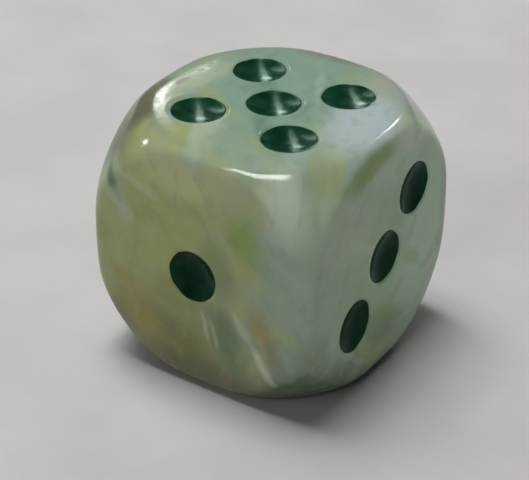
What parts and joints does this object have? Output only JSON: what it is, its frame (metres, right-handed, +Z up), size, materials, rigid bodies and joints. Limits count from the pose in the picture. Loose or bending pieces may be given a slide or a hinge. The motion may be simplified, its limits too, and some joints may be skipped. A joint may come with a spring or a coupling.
{
  "type": "gaming die",
  "caption": "Gaming die of marbled green resin with ball-cut corners, softened edges and round recessed pips lined with dark enamel, thrown to give a number by chance.",
  "frame": {"origin": "middle of the bottom flat, the one with two pips, on the surface the die rests on", "axes": "+Z up out of the flat with five pips, -Y (front) out of the flat with one pip, +X (right) out of the flat with three pips"},
  "size_m": [0.016, 0.016, 0.016],
  "materials": {
    "resin": "gloss",
    "enamel": "gloss"
  },
  "bodies": {
    "root": {"die_body": "resin", "pip_five_back_left": "enamel", "pip_five_back_right": "enamel", "pip_five_centre": "enamel", "pip_five_front_left": "enamel", "pip_five_front_right": "enamel", "pip_four_lower_back": "enamel", "pip_four_lower_front": "enamel", "pip_four_upper_back": "enamel", "pip_four_upper_front": "enamel", "pip_one_centre": "enamel", "pip_six_lower_left": "enamel", "pip_six_lower_right": "enamel", "pip_six_middle_left": "enamel", "pip_six_middle_right": "enamel", "pip_six_upper_left": "enamel", "pip_six_upper_right": "enamel", "pip_three_centre": "enamel", "pip_three_lower_front": "enamel", "pip_three_upper_back": "enamel", "pip_two_back_left": "enamel", "pip_two_front_right": "enamel"}
  },
  "joints": []
}
